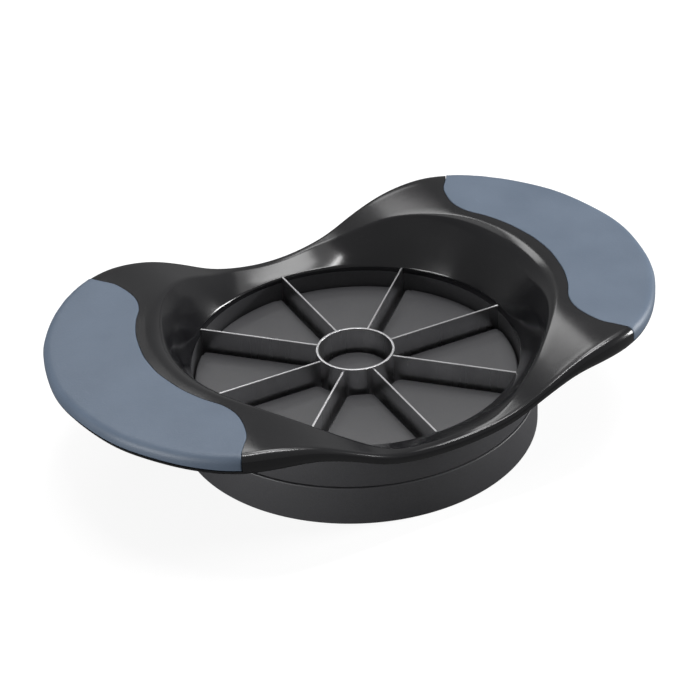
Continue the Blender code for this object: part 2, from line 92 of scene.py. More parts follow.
def camera_axes():
    """The directions to the right, up and back out of the picture."""
    level = cos(CAMERA_ELEVATION)
    back = Vector((sin(CAMERA_AZIMUTH) * level, -cos(CAMERA_AZIMUTH) * level, sin(CAMERA_ELEVATION)))
    flat_right = Vector((cos(CAMERA_AZIMUTH), sin(CAMERA_AZIMUTH), 0.0))
    flat_up = back.cross(flat_right)
    right = cos(CAMERA_ROLL) * flat_right + sin(CAMERA_ROLL) * flat_up
    up = cos(CAMERA_ROLL) * flat_up - sin(CAMERA_ROLL) * flat_right
    return right, up, back


right, up, back = camera_axes()
camera_data = bpy.data.cameras.new("photo_camera")
camera_data.sensor_width = SENSOR_WIDTH
camera_data.lens = FOCAL_PIXELS * SENSOR_WIDTH / PICTURE_WIDTH
camera = bpy.data.objects.new("photo_camera", camera_data)
camera.matrix_world = Matrix((right, up, back)).transposed().to_4x4()
camera.location = CAMERA_DISTANCE * back - CAMERA_RIGHT * right - CAMERA_UP * up
scene.collection.objects.link(camera)
scene.camera = camera
print("lens %.1f mm, camera at" % camera_data.lens, [round(v, 3) for v in camera.location])

# %% [markdown]
# ## Floor and light
#
# Black plastic shows almost nothing but what it mirrors, so the lights are shaped before they are
# strong. A dim surround keeps it dark. A wide panel overhead gives the slopes an even dark grey,
# and a smaller one behind lays the broad glow on the right saddle. A narrow strip and a
# high box draw the thin bright line along the rim. Low boxes at both sides model the round base.
# The floor is a plain sheet. The camera sees it brighter than the tool mirrors it, so that it
# reads as white, keeps the tool's soft shadow and leaves the plastic dark.

# %% Small helpers for node trees


def new_material(name):
    """An empty material with an output, ready for its nodes."""
    material = bpy.data.materials.new(name)
    material.use_nodes = True
    tree = material.node_tree
    tree.nodes.clear()
    output = tree.nodes.new("ShaderNodeOutputMaterial")
    return material, tree, output


def add_node(tree, kind, **values):
    """A node with its properties and its named inputs set."""
    node = tree.nodes.new(kind)
    for key, value in values.items():
        if hasattr(node, key):
            setattr(node, key, value)
        else:
            node.inputs[key.replace("_", " ")].default_value = value
    return node


def grey(tone):
    """A grey colour with its alpha."""
    return tone, tone, tone, 1.0


def connect(tree, *rows):
    """Link nodes, from rows of a node, its output, the next node and that one's input."""
    for node, output, after, entry in rows:
        tree.links.new(node.outputs[output], after.inputs[entry])


print("node helpers ready")

# %% Lay the floor
FLOOR_SIZE = 6.0
# Tone that the tool mirrors, tone that the camera sees, and the light that the camera sees on top.
FLOOR_TONE = 0.16
FLOOR_SHADE = 0.20
FLOOR_LIFT = 0.89


def floor_material():
    """A pale sheet. To the camera it is mostly bright by itself, which keeps its shadows faint."""
    material, tree, output = new_material("pale_floor")
    sheet = add_node(tree, "ShaderNodeBsdfDiffuse", Color=grey(FLOOR_TONE))
    shaded = add_node(tree, "ShaderNodeBsdfDiffuse", Color=grey(FLOOR_SHADE))
    glow = add_node(tree, "ShaderNodeEmission", Strength=FLOOR_LIFT)
    both = tree.nodes.new("ShaderNodeAddShader")
    path = tree.nodes.new("ShaderNodeLightPath")
    choice = tree.nodes.new("ShaderNodeMixShader")
    connect(
        tree,
        (shaded, 0, both, 0),
        (glow, 0, both, 1),
        (path, "Is Camera Ray", choice, "Fac"),
        (sheet, 0, choice, 1),
        (both, 0, choice, 2),
        (choice, 0, output, "Surface"),
    )
    return material


bpy.ops.mesh.primitive_plane_add(size=FLOOR_SIZE, location=(0.0, 0.0, 0.0))
floor = bpy.context.object
floor.name = "floor"
floor.data.materials.append(floor_material())
print("floor", FLOOR_SIZE, "m across")

# %% Light the surround
# Its strength as a light, in a mirror and to the camera.
SURROUND_STRENGTHS = (0.19, 0.32, 1.0)


def white_surround():
    """White to the camera, dimmer in reflections, and dimmer still as a light."""
    world = bpy.data.worlds.new("surround")
    world.use_nodes = True
    tree = world.node_tree
    tree.nodes.clear()
    output = tree.nodes.new("ShaderNodeOutputWorld")
    path = tree.nodes.new("ShaderNodeLightPath")
    plain, mirrored, seen = (
        add_node(tree, "ShaderNodeBackground", Color=grey(1.0), Strength=strength)
        for strength in SURROUND_STRENGTHS
    )
    reflected = add_node(tree, "ShaderNodeMath", operation="MAXIMUM")
    first = tree.nodes.new("ShaderNodeMixShader")
    second = tree.nodes.new("ShaderNodeMixShader")
    connect(
        tree,
        (path, "Is Glossy Ray", reflected, 0),
        (path, "Is Transmission Ray", reflected, 1),
        (reflected, 0, first, "Fac"),
        (plain, 0, first, 1),
        (mirrored, 0, first, 2),
        (path, "Is Camera Ray", second, "Fac"),
        (first, 0, second, 1),
        (seen, 0, second, 2),
        (second, 0, output, "Surface"),
    )
    scene.world = world


white_surround()
scene.view_settings.view_transform = "Standard"
print("surround set")

# %% Hang the soft boxes
# Each box: name, place, point that it faces, width, length, brightness of its face.
SOFT_BOXES = (
    ("overhead_panel", (0.30, 0.36, 1.05), (0.30, 0.36, 0.0), 1.10, 0.90, 1.0),
    ("overhead_strip", (0.16, -0.02, 0.95), (0.16, -0.02, 0.0), 0.70, 0.07, 30.0),
    ("rim_box", (0.28, 0.36, 0.89), (0.0, 0.0, 0.0), 0.30, 0.30, 7.0),
    ("rear_box", (0.115, 0.790, 0.757), (0.0, 0.0, 0.0), 0.40, 0.16, 4.8),
    ("right_box", (1.10, -0.30, 0.28), (0.0, 0.0, 0.0), 0.36, 0.42, 31.0),
    ("left_box", (-1.15, -0.16, 0.15), (0.0, 0.0, 0.0), 0.50, 0.28, 22.0),
)


def hang_box(name, place, target, width, length, brightness):
    """A rectangular area light. Its face gives pi watts a square metre for each unit of brightness."""
    light = bpy.data.lights.new(name, "AREA")
    light.shape = "RECTANGLE"
    light.size = width
    light.size_y = length
    light.energy = brightness * pi * width * length
    lamp = bpy.data.objects.new(name, light)
    lamp.location = place
    lamp.rotation_euler = (Vector(place) - Vector(target)).to_track_quat("Z", "Y").to_euler()
    scene.collection.objects.link(lamp)
    return lamp


for box in SOFT_BOXES:
    lamp = hang_box(*box)
    print("hung %s, %.1f W" % (lamp.name, lamp.data.energy))

# %% [markdown]
# ## Effects that several finishes share
#
# Moulded plastic, soft rubber and ground steel differ in what their surface does at the scale of
# a tenth of a millimetre. Three node groups make these effects once: a moulded grain, faint rub
# marks, and lines from grinding. Each gives masks, and the grain and the lines give a normal too.
# Every material places them with its own values.

# %% Group: moulded grain
GRAIN_HEIGHT = 0.0002


def new_group(name, inputs, outputs):
    """A shader node group. Its sockets are floats, and an output called Normal is a vector."""
    group = bpy.data.node_groups.new(name, "ShaderNodeTree")
    for label, value in inputs:
        socket = group.interface.new_socket(label, in_out="INPUT", socket_type="NodeSocketFloat")
        socket.default_value = value
    for label in outputs:
        kind = "NodeSocketVector" if label == "Normal" else "NodeSocketFloat"
        group.interface.new_socket(label, in_out="OUTPUT", socket_type=kind)
    start = group.nodes.new("NodeGroupInput")
    end = group.nodes.new("NodeGroupOutput")
    return group, start, end


def moulded_grain_group():
    """A fine grain with its bump, and broad patches in which a moulding changes a little."""
    group, start, end = new_group(
        "moulded_grain",
        (("Grain per metre", 3000.0), ("Patch per metre", 40.0), ("Depth", 0.2)),
        ("Grain", "Patches", "Normal"),
    )
    place = add_node(group, "ShaderNodeTexCoord")
    grain = add_node(group, "ShaderNodeTexNoise", Detail=2.0, Roughness=0.6)
    patches = add_node(group, "ShaderNodeTexNoise", Detail=3.0, Roughness=0.5)
    bump = add_node(group, "ShaderNodeBump", Distance=GRAIN_HEIGHT)
    connect(
        group,
        (place, "Object", grain, "Vector"),
        (place, "Object", patches, "Vector"),
        (start, "Grain per metre", grain, "Scale"),
        (start, "Patch per metre", patches, "Scale"),
        (start, "Depth", bump, "Strength"),
        (grain, "Fac", bump, "Height"),
        (grain, "Fac", end, "Grain"),
        (patches, "Fac", end, "Patches"),
        (bump, "Normal", end, "Normal"),
    )
    return group


moulded_grain = moulded_grain_group()
print("group", moulded_grain.name)

# %% Group: rub marks
# Each direction of the scratches: its turn in radians, and the stretch that makes dots into lines.
MARK_DIRECTIONS = ((0.5, 0.06), (2.1, 0.08))
MARK_TILT = (0.3, 0.2)
MARK_SOFTNESS = 0.05
RUBBED_PER_METRE = 28.0


def rub_marks_group():
    """Short hairline scratches in two directions, and the soft patches where hands rub."""
    group, start, end = new_group(
        "rub_marks",
        (("Marks per metre", 3600.0), ("Rarity", 0.70)),
        ("Marks", "Rubbed"),
    )
    place = add_node(group, "ShaderNodeTexCoord")
    total = None
    for turn, stretch in MARK_DIRECTIONS:
        mapping = add_node(
            group, "ShaderNodeMapping", Rotation=(*MARK_TILT, turn), Scale=(1.0, stretch, 1.0)
        )
        lines = add_node(group, "ShaderNodeTexNoise", Detail=1.0, Roughness=0.3)
        sharp = add_node(group, "ShaderNodeMapRange")
        limit = add_node(group, "ShaderNodeMath", operation="ADD")
        limit.inputs[1].default_value = MARK_SOFTNESS
        connect(
            group,
            (place, "Object", mapping, "Vector"),
            (mapping, "Vector", lines, "Vector"),
            (start, "Marks per metre", lines, "Scale"),
            (start, "Rarity", limit, 0),
            (start, "Rarity", sharp, "From Min"),
            (limit, 0, sharp, "From Max"),
            (lines, "Fac", sharp, "Value"),
        )
        if total is None:
            total = sharp
        else:
            joined = add_node(group, "ShaderNodeMath", operation="MAXIMUM")
            connect(group, (total, 0, joined, 0), (sharp, 0, joined, 1))
            total = joined
    rubbed = add_node(group, "ShaderNodeTexNoise", Scale=RUBBED_PER_METRE, Detail=4.0, Roughness=0.6)
    connect(
        group,
        (place, "Object", rubbed, "Vector"),
        (total, 0, end, "Marks"),
        (rubbed, "Fac", end, "Rubbed"),
    )
    return group


rub_marks = rub_marks_group()
print("group", rub_marks.name)

# %% Group: grinding lines
LINE_HEIGHT = 0.0001
LINE_STRETCH = 0.01
STAINS_PER_METRE = 90.0


def grinding_lines_group():
    """Fine upright lines, as a grinding wheel leaves them across a strip of steel."""
    group, start, end = new_group(
        "grinding_lines",
        (("Lines per metre", 2600.0), ("Depth", 0.3)),
        ("Lines", "Stains", "Normal"),
    )
    place = add_node(group, "ShaderNodeTexCoord")
    mapping = add_node(group, "ShaderNodeMapping", Scale=(1.0, 1.0, LINE_STRETCH))
    lines = add_node(group, "ShaderNodeTexNoise", Detail=2.0, Roughness=0.5)
    stains = add_node(group, "ShaderNodeTexNoise", Scale=STAINS_PER_METRE, Detail=3.0, Roughness=0.5)
    bump = add_node(group, "ShaderNodeBump", Distance=LINE_HEIGHT)
    connect(
        group,
        (place, "Object", mapping, "Vector"),
        (mapping, "Vector", lines, "Vector"),
        (start, "Lines per metre", lines, "Scale"),
        (place, "Object", stains, "Vector"),
        (start, "Depth", bump, "Strength"),
        (lines, "Fac", bump, "Height"),
        (lines, "Fac", end, "Lines"),
        (stains, "Fac", end, "Stains"),
        (bump, "Normal", end, "Normal"),
    )
    return group


grinding_lines = grinding_lines_group()
print("group", grinding_lines.name)

# %% Helpers that read a mask into a shader
# Noise seldom leaves this middle part of its range.
MASK_LOW, MASK_HIGH = 0.3, 0.7
# Places of the sockets that carry colours on a Mix node: below, above and result.
MIX_BELOW, MIX_ABOVE, MIX_RESULT = 6, 7, 2


def place_group(tree, group, **values):
    return add_node(tree, "ShaderNodeGroup", node_tree=group, **values)


def mask_to_range(tree, mask, low, high):
    """Map a mask's middle part to a range of values."""
    reach = {"From_Min": MASK_LOW, "From_Max": MASK_HIGH, "To_Min": low, "To_Max": high}
    spread = add_node(tree, "ShaderNodeMapRange", **reach)
    tree.links.new(mask, spread.inputs["Value"])
    return spread.outputs["Result"]


def two_tones(tree, mask, dark, light):
    """Blend two colours by a mask's middle part."""
    ramp = tree.nodes.new("ShaderNodeValToRGB")
    for stop, place, tone in zip(ramp.color_ramp.elements, (MASK_LOW, MASK_HIGH), (dark, light)):
        stop.position = place
        stop.color = (*tone, 1.0)
    tree.links.new(mask, ramp.inputs["Fac"])
    return ramp.outputs["Color"]


def over(tree, base, top, mask, share):
    """Lay a share of a flat colour over another colour where the mask is."""
    mix = add_node(tree, "ShaderNodeMix", data_type="RGBA")
    scaled = add_node(tree, "ShaderNodeMath", operation="MULTIPLY")
    scaled.inputs[1].default_value = share
    connect(tree, (scaled, 0, mix, "Factor"))
    tree.links.new(mask, scaled.inputs[0])
    tree.links.new(base, mix.inputs[MIX_BELOW])
    mix.inputs[MIX_ABOVE].default_value = (*top, 1.0)
    return mix.outputs[MIX_RESULT]


print("mask helpers ready")

# %% What the three mouldings have in common


def moulded_finish(name, grain, marks, tone_mask, tones, mark_tone, mark_share, dull_mask, roughness, ior):
    """Two tones with rub marks laid over them, an uneven gloss and a grain."""
    material, tree, output = new_material(name)
    shader = add_node(tree, "ShaderNodeBsdfPrincipled", IOR=ior)
    masks = dict(place_group(tree, moulded_grain, **grain).outputs.items())
    masks.update(place_group(tree, rub_marks, **marks).outputs.items())
    color = two_tones(tree, masks[tone_mask], *tones)
    color = over(tree, color, mark_tone, masks["Marks"], mark_share)
    tree.links.new(color, shader.inputs["Base Color"])
    tree.links.new(mask_to_range(tree, masks[dull_mask], *roughness), shader.inputs["Roughness"])
    tree.links.new(masks["Normal"], shader.inputs["Normal"])
    connect(tree, (shader, 0, output, "Surface"))
    return material


print("moulded finish ready")

# %% [markdown]
# ## Glossy black frame
#
# The frame is moulded in a polished tool, so it mirrors its surround, with a very slight
# waviness. Hands leave it a little duller in patches, and a few hairline marks catch the light.
# A plain black gloss would look like glass. Here the colour is nearly black, and the roughness
# changes slowly over the surface, so that the reflections spread as they do on used plastic.

# %% Make the glossy black plastic
gloss_black_plastic = moulded_finish(
    "gloss_black_plastic",
    grain={"Grain_per_metre": 420.0, "Patch_per_metre": 30.0, "Depth": 0.035},
    marks={"Marks_per_metre": 3600.0, "Rarity": 0.71},
    tone_mask="Patches",
    tones=((0.004, 0.004, 0.005), (0.008, 0.008, 0.009)),
    mark_tone=(0.05, 0.05, 0.05),
    mark_share=0.15,
    dull_mask="Rubbed",
    roughness=(0.13, 0.20),
    ior=1.5,
)
print("made", gloss_black_plastic.name)

# %% [markdown]
# ## Satin black base and collar
#
# These two mouldings have a fine spark-eroded grain, which spreads the light and makes them
# look charcoal grey beside the frame. The grain could be real bumps in the mesh, but at a quarter
# of a millimetre that would take millions of faces, so it is a bump in the material, and the same
# grain also varies the colour.

# %% Make the satin black plastic
satin_black_plastic = moulded_finish(
    "satin_black_plastic",
    grain={"Grain_per_metre": 4200.0, "Patch_per_metre": 36.0, "Depth": 0.22},
    marks={"Marks_per_metre": 3000.0, "Rarity": 0.72},
    tone_mask="Grain",
    tones=((0.042, 0.042, 0.045), (0.062, 0.062, 0.066)),
    mark_tone=(0.07, 0.07, 0.07),
    mark_share=0.25,
    dull_mask="Patches",
    roughness=(0.40, 0.50),
    ior=1.5,
)
print("made", satin_black_plastic.name)

# %% [markdown]
# ## Soft grips
#
# The grips are a blue-grey rubber moulded onto the wings. Their skin is matt with a fine
# pebbled grain, a little paler in patches and duller where hands rub. Rubber needs no shader of
# its own: the same recipe with a deeper grain, a rougher surface and a lower index of refraction
# reads as soft.

# %% Make the grip rubber
soft_grip_grey = moulded_finish(
    "soft_grip_grey",
    grain={"Grain_per_metre": 1900.0, "Patch_per_metre": 55.0, "Depth": 0.30},
    marks={"Marks_per_metre": 2600.0, "Rarity": 0.74},
    tone_mask="Patches",
    tones=((0.081, 0.109, 0.152), (0.098, 0.129, 0.176)),
    mark_tone=(0.16, 0.20, 0.26),
    mark_share=0.12,
    dull_mask="Rubbed",
    roughness=(0.42, 0.54),
    ior=1.45,
)
print("made", soft_grip_grey.name)

# %% [markdown]
# ## Ground steel
#
# Blades and core ring are thin stainless strip. Grinding leaves fine upright lines, and washing
# leaves faint cloudy stains. The lines could come from an anisotropic shader, but they are wide
# enough to be seen one by one from near, so they are drawn as a stretched noise.

# %% Make the blade steel
STEEL_LINES = {"Lines_per_metre": 3600.0, "Depth": 0.012}
STEEL_TONES = ((0.52, 0.52, 0.53), (0.66, 0.66, 0.67))
STEEL_ROUGHNESS = (0.27, 0.34)


def blade_steel():
    material, tree, output = new_material("ground_steel")
    shader = add_node(tree, "ShaderNodeBsdfPrincipled", Metallic=1.0)
    lines = place_group(tree, grinding_lines, **STEEL_LINES)
    color = two_tones(tree, lines.outputs["Stains"], *STEEL_TONES)
    tree.links.new(color, shader.inputs["Base Color"])
    rough = mask_to_range(tree, lines.outputs["Lines"], *STEEL_ROUGHNESS)
    tree.links.new(rough, shader.inputs["Roughness"])
    connect(tree, (lines, "Normal", shader, "Normal"), (shader, 0, output, "Surface"))
    return material


ground_steel = blade_steel()
print("made", ground_steel.name)

# %% [markdown]
# ## Frame and grips as smooth mouldings
#
# The solids of the engineering model are cut into few, large facets, which a mirror-like plastic
# shows at once. So the frame and its grips are built once more with many more faces, from
# the same three rules: the rim is a smooth closed curve, the saddle's height depends only on the
# distance along the wings, and the bowl is a cone between the bore and a round lip. A curve
# through few points keeps its slope but not its bend from point to point, so it is also relaxed
# a little, as a draughtsman fairs a line.

# %% Rim values
MM = 0.001
HALF_LENGTH, HALF_WIDTH = cad_box[1][:2]
SADDLE_TOP = 25.0 * MM
WING_RISE = 14.5 * MM
WING_WALL = 6.3 * MM
# Share of the half length, of the half width, of the wing's rise and of the wing's wall height.
RIM_SHARES = (
    (1.000, 0.000, 1.00, 0.81),
    (0.986, 0.198, 1.00, 0.81),
    (0.943, 0.439, 1.00, 0.81),
    (0.871, 0.634, 1.00, 0.82),
    (0.787, 0.792, 1.00, 0.86),
    (0.684, 0.911, 1.01, 0.95),
    (0.573, 0.967, 1.01, 0.98),
    (0.446, 0.989, 0.85, 0.70),
    (0.330, 1.000, 0.54, 0.52),
    (0.220, 0.997, 0.21, 0.50),
    (0.110, 0.990, 0.05, 0.50),
    (0.000, 0.986, 0.00, 0.50),
)
print("half length %.4f, half width %.4f" % (HALF_LENGTH, HALF_WIDTH))

# %% A smooth closed curve through the rim's points
SPAN_STEPS = 16
FAIRING_PASSES = 30


def spline(before, start, end, after, share):
    """A value between start and end on a Catmull-Rom curve through all four values."""
    a = 2 * start
    b = end - before
    c = 2 * before - 5 * start + 4 * end - after
    d = 3 * (start - end) + after - before
    return (a + b * share + c * share ** 2 + d * share ** 3) / 2


def smooth_path(rows, steps, closed):
    """Put points on a smooth curve through all rows, a number of steps from row to row."""
    count = len(rows)
    path = []
    for k in range(count if closed else count - 1):
        around = []
        for offset in (-1, 0, 1, 2):
            place = (k + offset) % count if closed else min(max(k + offset, 0), count - 1)
            around.append(rows[place])
        for step in range(steps):
            path.append(tuple(spline(*values, step / steps) for values in zip(*around)))
    return path if closed else path + [tuple(rows[-1])]


def fair(path, passes):
    """Relax a closed path: each point moves halfway to the middle of its neighbours."""
    for _ in range(passes):
        threes = zip(path[-1:] + path[:-1], path, path[1:] + path[:1])
        path = [tuple((a + 2 * b + c) / 4 for a, b, c in zip(*three)) for three in threes]
    return path


def rim_path():
    quarter = []
    for length, width, rise, wall in RIM_SHARES:
        top = SADDLE_TOP + WING_RISE * rise
        quarter.append((HALF_LENGTH * length, HALF_WIDTH * width, top, WING_WALL * wall))
    inner = quarter[1:-1]
    tip, middle = quarter[0], quarter[-1]
    rows = list(quarter)
    rows += [(-x, y, z, wall) for x, y, z, wall in reversed(inner)]
    rows += [(-tip[0], 0.0, tip[2], tip[3])]
    rows += [(-x, -y, z, wall) for x, y, z, wall in inner]
    rows += [(0.0, -middle[1], middle[2], middle[3])]
    rows += [(x, -y, z, wall) for x, y, z, wall in reversed(inner)]
    return fair(smooth_path(rows, SPAN_STEPS, True), FAIRING_PASSES)


rim = rim_path()
print("rim curve:", len(rim), "points")

# %% Height of the saddle at a distance along the wings
SADDLE_ACROSS, SADDLE_HEIGHTS = zip(*sorted((x, z) for x, y, z, wall in rim if min(x, y) >= 0))


def saddle_height(x):
    across = min(max(abs(x), SADDLE_ACROSS[0]), SADDLE_ACROSS[-1])
    k = min(max(bisect_right(SADDLE_ACROSS, across), 1), len(SADDLE_ACROSS) - 1)
    span = SADDLE_ACROSS[k] - SADDLE_ACROSS[k - 1]
    share = (across - SADDLE_ACROSS[k - 1]) / span if span else 0.0
    return SADDLE_HEIGHTS[k - 1] + (SADDLE_HEIGHTS[k] - SADDLE_HEIGHTS[k - 1]) * share


print("saddle %.1f mm high in the middle, %.1f mm at the tip" % (
    saddle_height(0.0) / MM, saddle_height(HALF_LENGTH) / MM))

# %% Sizes of the frame's section
BORE_RADIUS = 47.8 * MM
COLLAR_RADIUS = 52.5 * MM
SEAT_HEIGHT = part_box("upper_frame")[0][2]
BOWL_BOTTOM = SEAT_HEIGHT + 1.5 * MM
BORE_ROUND = 0.8 * MM
LIP_RADIUS = 56.3 * MM
LIP_BLEND = 1.2 * MM
BOWL_LAND = 0.5 * MM
WING_SHOULDER = 4.8 * MM
SADDLE_SHOULDER = 1.0 * MM
SHOULDER_FROM = radians(8)
SHOULDER_TO = radians(44)
SHOULDER_INNER_SHARE = 0.45
EDGE_ROUND_SHARE = 0.40
EDGE_TUCK_SHARE = 0.22
FRAME_WALL = 2.8 * MM
SKIRT_WALL = 2.6 * MM
UNDER_CLEARANCE = 0.3 * MM
GRIP_LIP = 1.7 * MM
SECTION_ROWS = {"bore": 5, "wall": 3, "shoulder": 10, "top": 9, "edge": 8, "under": 5}


def smooth_step(value, low, high):
    share = min(max((value - low) / (high - low), 0.0), 1.0)
    return share * share * (3 - 2 * share)


def smooth_least(a, b, blend):
    """The smaller of two values, with a soft change from one to the other."""
    mix = min(max(0.5 + (b - a) / (2 * blend), 0.0), 1.0)
    return b + (a - b) * mix - blend * mix * (1 - mix)


def bend_point(first, middle, last, share):
    weights = ((1 - share) ** 2, 2 * share * (1 - share), share ** 2)
    return tuple(
        weights[0] * first[i] + weights[1] * middle[i] + weights[2] * last[i]
        for i in range(len(first))
    )


def between(first, last, share):
    return tuple(a + (b - a) * share for a, b in zip(first, last))


print("wall", FRAME_WALL, "m")

# %% One upright section of the frame
RIM_REACH = 2
RIM_STRIDE = 2


def rim_at(place):
    """The rim's values at a place along the curve, counted in points from the right tip."""
    k = floor_of(place)
    return between(rim[k % len(rim)], rim[(k + 1) % len(rim)], place - k)


class Section:
    """The frame's outline in the upright plane through one rim point."""

    def __init__(self, place):
        before, after = rim_at(place - RIM_REACH), rim_at(place + RIM_REACH)
        self.x, self.y, self.top, self.wall = rim_at(place)
        run = Vector((after[0] - before[0], after[1] - before[1])).normalized()
        self.out = (run.y, -run.x)
        self.radius = hypot(self.x, self.y)
        self.ray = (self.x / self.radius, self.y / self.radius)
        self.round = EDGE_ROUND_SHARE * self.wall
        self.tuck = EDGE_TUCK_SHARE * self.wall
        self.low = self.top - self.wall
        off_axis = atan2(abs(self.y), abs(self.x))
        soft = 1 - smooth_step(off_axis, SHOULDER_FROM, SHOULDER_TO)
        self.shoulder = SADDLE_SHOULDER + (WING_SHOULDER - SADDLE_SHOULDER) * soft
        room = self.radius - self.round - self.shoulder - BOWL_LAND
        self.lip = smooth_least(LIP_RADIUS, room, LIP_BLEND)
        lip_height = saddle_height(self.ray[0] * self.lip)
        self.slope = (lip_height - BOWL_BOTTOM) / (self.lip - BORE_RADIUS)

    def at(self, radius, height):
        return self.ray[0] * radius, self.ray[1] * radius, height

    def cone(self, radius, drop=0.0):
        return self.at(radius, BOWL_BOTTOM + self.slope * (radius - BORE_RADIUS) - drop)

    def saddle(self, radius):
        return self.at(radius, saddle_height(self.ray[0] * radius))

    def inset(self, distance, height):
        return self.x - self.out[0] * distance, self.y - self.out[1] * distance, height

    def bowl(self):
        """From the seat up the bore, round its edge and up the cone."""
        run = BORE_ROUND / hypot(1.0, self.slope)
        first = self.at(BORE_RADIUS, BOWL_BOTTOM - BORE_ROUND)
        corner = self.at(BORE_RADIUS, BOWL_BOTTOM)
        last = self.cone(BORE_RADIUS + run)
        rows = SECTION_ROWS["bore"]
        points = [self.at(BORE_RADIUS, SEAT_HEIGHT)]
        points += [bend_point(first, corner, last, k / rows) for k in range(rows)]
        foot = self.cone(self.lip - SHOULDER_INNER_SHARE * self.shoulder)
        rows = SECTION_ROWS["wall"]
        points += [between(last, foot, k / rows) for k in range(rows)]
        rows = SECTION_ROWS["shoulder"]
        corner = self.saddle(self.lip)
        last = self.saddle(self.lip + self.shoulder)
        points += [bend_point(foot, corner, last, k / rows) for k in range(rows + 1)]
        return points

    def saddle_points(self, start, lift=0.0):
        """Over the saddle from a radius to where the rim's rounding starts."""
        first = self.at(start, 0.0)
        last = self.inset(self.round, 0.0)
        rows = SECTION_ROWS["top"]
        points = [between(first, last, k / rows) for k in range(rows)]
        return [(x, y, saddle_height(x) + lift) for x, y, _ in points]

    def edge_points(self, bottom, lift=0.0):
        """Round the rim's edge and down its wall."""
        centre = self.top - self.round
        reach = self.round + lift
        rows = SECTION_ROWS["edge"]
        points = []
        for k in range(rows + 1):
            turn = pi / 2 * (1 - k / rows)
            points.append(self.inset(self.round - reach * cos(turn), centre + reach * sin(turn)))
        wall_top, wall_foot = points[-1], self.inset(-lift, bottom)
        return points + [between(wall_top, wall_foot, k / 2) for k in (1, 2)]

    def under(self):
        """The hollow underside, from the foot of the wall in to the collar."""
        thick = FRAME_WALL * hypot(1.0, self.slope)
        x0, y0, _ = self.inset(SKIRT_WALL, 0.0)
        corner = self.lip + (thick - FRAME_WALL) / self.slope
        corner = min(corner, hypot(x0, y0) - SKIRT_WALL / 2)
        first, last = (x0, y0, 0.0), self.at(corner, 0.0)
        rows = SECTION_ROWS["under"]
        points = [(x0, y0, self.low)]
        for k in range(rows + 1):
            x, y, _ = between(first, last, k / rows)
            points.append((x, y, saddle_height(x) - FRAME_WALL))
        foot = self.cone(COLLAR_RADIUS, thick)
        points.append((*foot[:2], max(foot[2], SEAT_HEIGHT + UNDER_CLEARANCE)))
        points.append(self.at(COLLAR_RADIUS, SEAT_HEIGHT))
        return points

    def outline(self):
        points = self.bowl() + self.saddle_points(self.lip + self.shoulder)[1:]
        points += self.edge_points(self.low + GRIP_LIP)
        points.append(self.inset(self.tuck, self.low))
        return points + self.under()


sections = [Section(place) for place in range(0, len(rim), RIM_STRIDE)]
print(len(sections), "sections of", len(sections[0].outline()), "points")

# %% Turn rings of points into a closed mesh
SHARP_ANGLE = radians(40)


def mesh_piece(name, points, faces):
    """An object made of faces that all look outward."""
    mesh = bpy.data.meshes.new(name)
    mesh.from_pydata(points, [], faces)
    shape = bmesh.new()
    shape.from_mesh(mesh)
    bmesh.ops.recalc_face_normals(shape, faces=shape.faces)
    if shape.calc_volume(signed=True) < 0:
        bmesh.ops.reverse_faces(shape, faces=shape.faces)
    shape.to_mesh(mesh)
    shape.free()
    piece = bpy.data.objects.new(name, mesh)
    scene.collection.objects.link(piece)
    return piece


def ring_mesh(name, strips, closed):
    """Join strips of points side by side. Each strip runs round the section and back."""
    count = len(strips[0])
    points = [point for strip in strips for point in strip]
    faces = []
    for k in range(len(strips) if closed else len(strips) - 1):
        here = k * count
        there = (k + 1) % len(strips) * count
        for j in range(count):
            after = (j + 1) % count
            faces.append((here + j, here + after, there + after, there + j))
    if not closed:
        faces.append(tuple(range(count)))
        faces.append(tuple(range(len(points) - count, len(points))))
    return mesh_piece(name, points, faces)


def cut(piece, tool, operation):
    """Apply an exact Boolean and throw the tool away."""
    modifier = piece.modifiers.new("cut", "BOOLEAN")
    modifier.operation = operation
    modifier.solver = "EXACT"
    modifier.object = tool
    depsgraph = bpy.context.evaluated_depsgraph_get()
    result = bpy.data.meshes.new_from_object(piece.evaluated_get(depsgraph))
    piece.modifiers.clear()
    piece.data = result
    bpy.data.objects.remove(tool)
    return piece


def smooth(piece):
    piece.data.shade_smooth()
    piece.data.set_sharp_from_angle(angle=SHARP_ANGLE)
    return piece


frame_shell = ring_mesh("frame_shell", [section.outline() for section in sections], True)
print("frame shell:", len(frame_shell.data.polygons), "faces before its recesses")

# %% [markdown]
# ## Recesses and grips
#
# The rubber fills a shallow recess of each wing, so that its edge meets the gloss in a fine seam.
# The recess is cut with a Boolean, which is exact and leaves the smooth surface round it alone.
# The grip itself would get a ragged edge that way. So it is laid in strips that follow the
# frame's own sections, start where its outline in plan says, and bend down at the edges in a
# quarter circle.

# %% Outline of a grip in plan
GRIP_STEPS = 12
GRIP_SKIN = 1.2 * MM
SEAM = 0.12 * MM
# Inner edge of the grip: share of the half length, share of the half width.
GRIP_SHARES = (
    (0.698, 0.060),
    (0.691, 0.140),
    (0.671, 0.273),
    (0.638, 0.398),
    (0.598, 0.507),
    (0.585, 0.622),
    (0.604, 0.763),
    (0.637, 0.842),
    (0.659, 0.893),
    (0.687, 0.990),
    (0.697, 1.100),
)


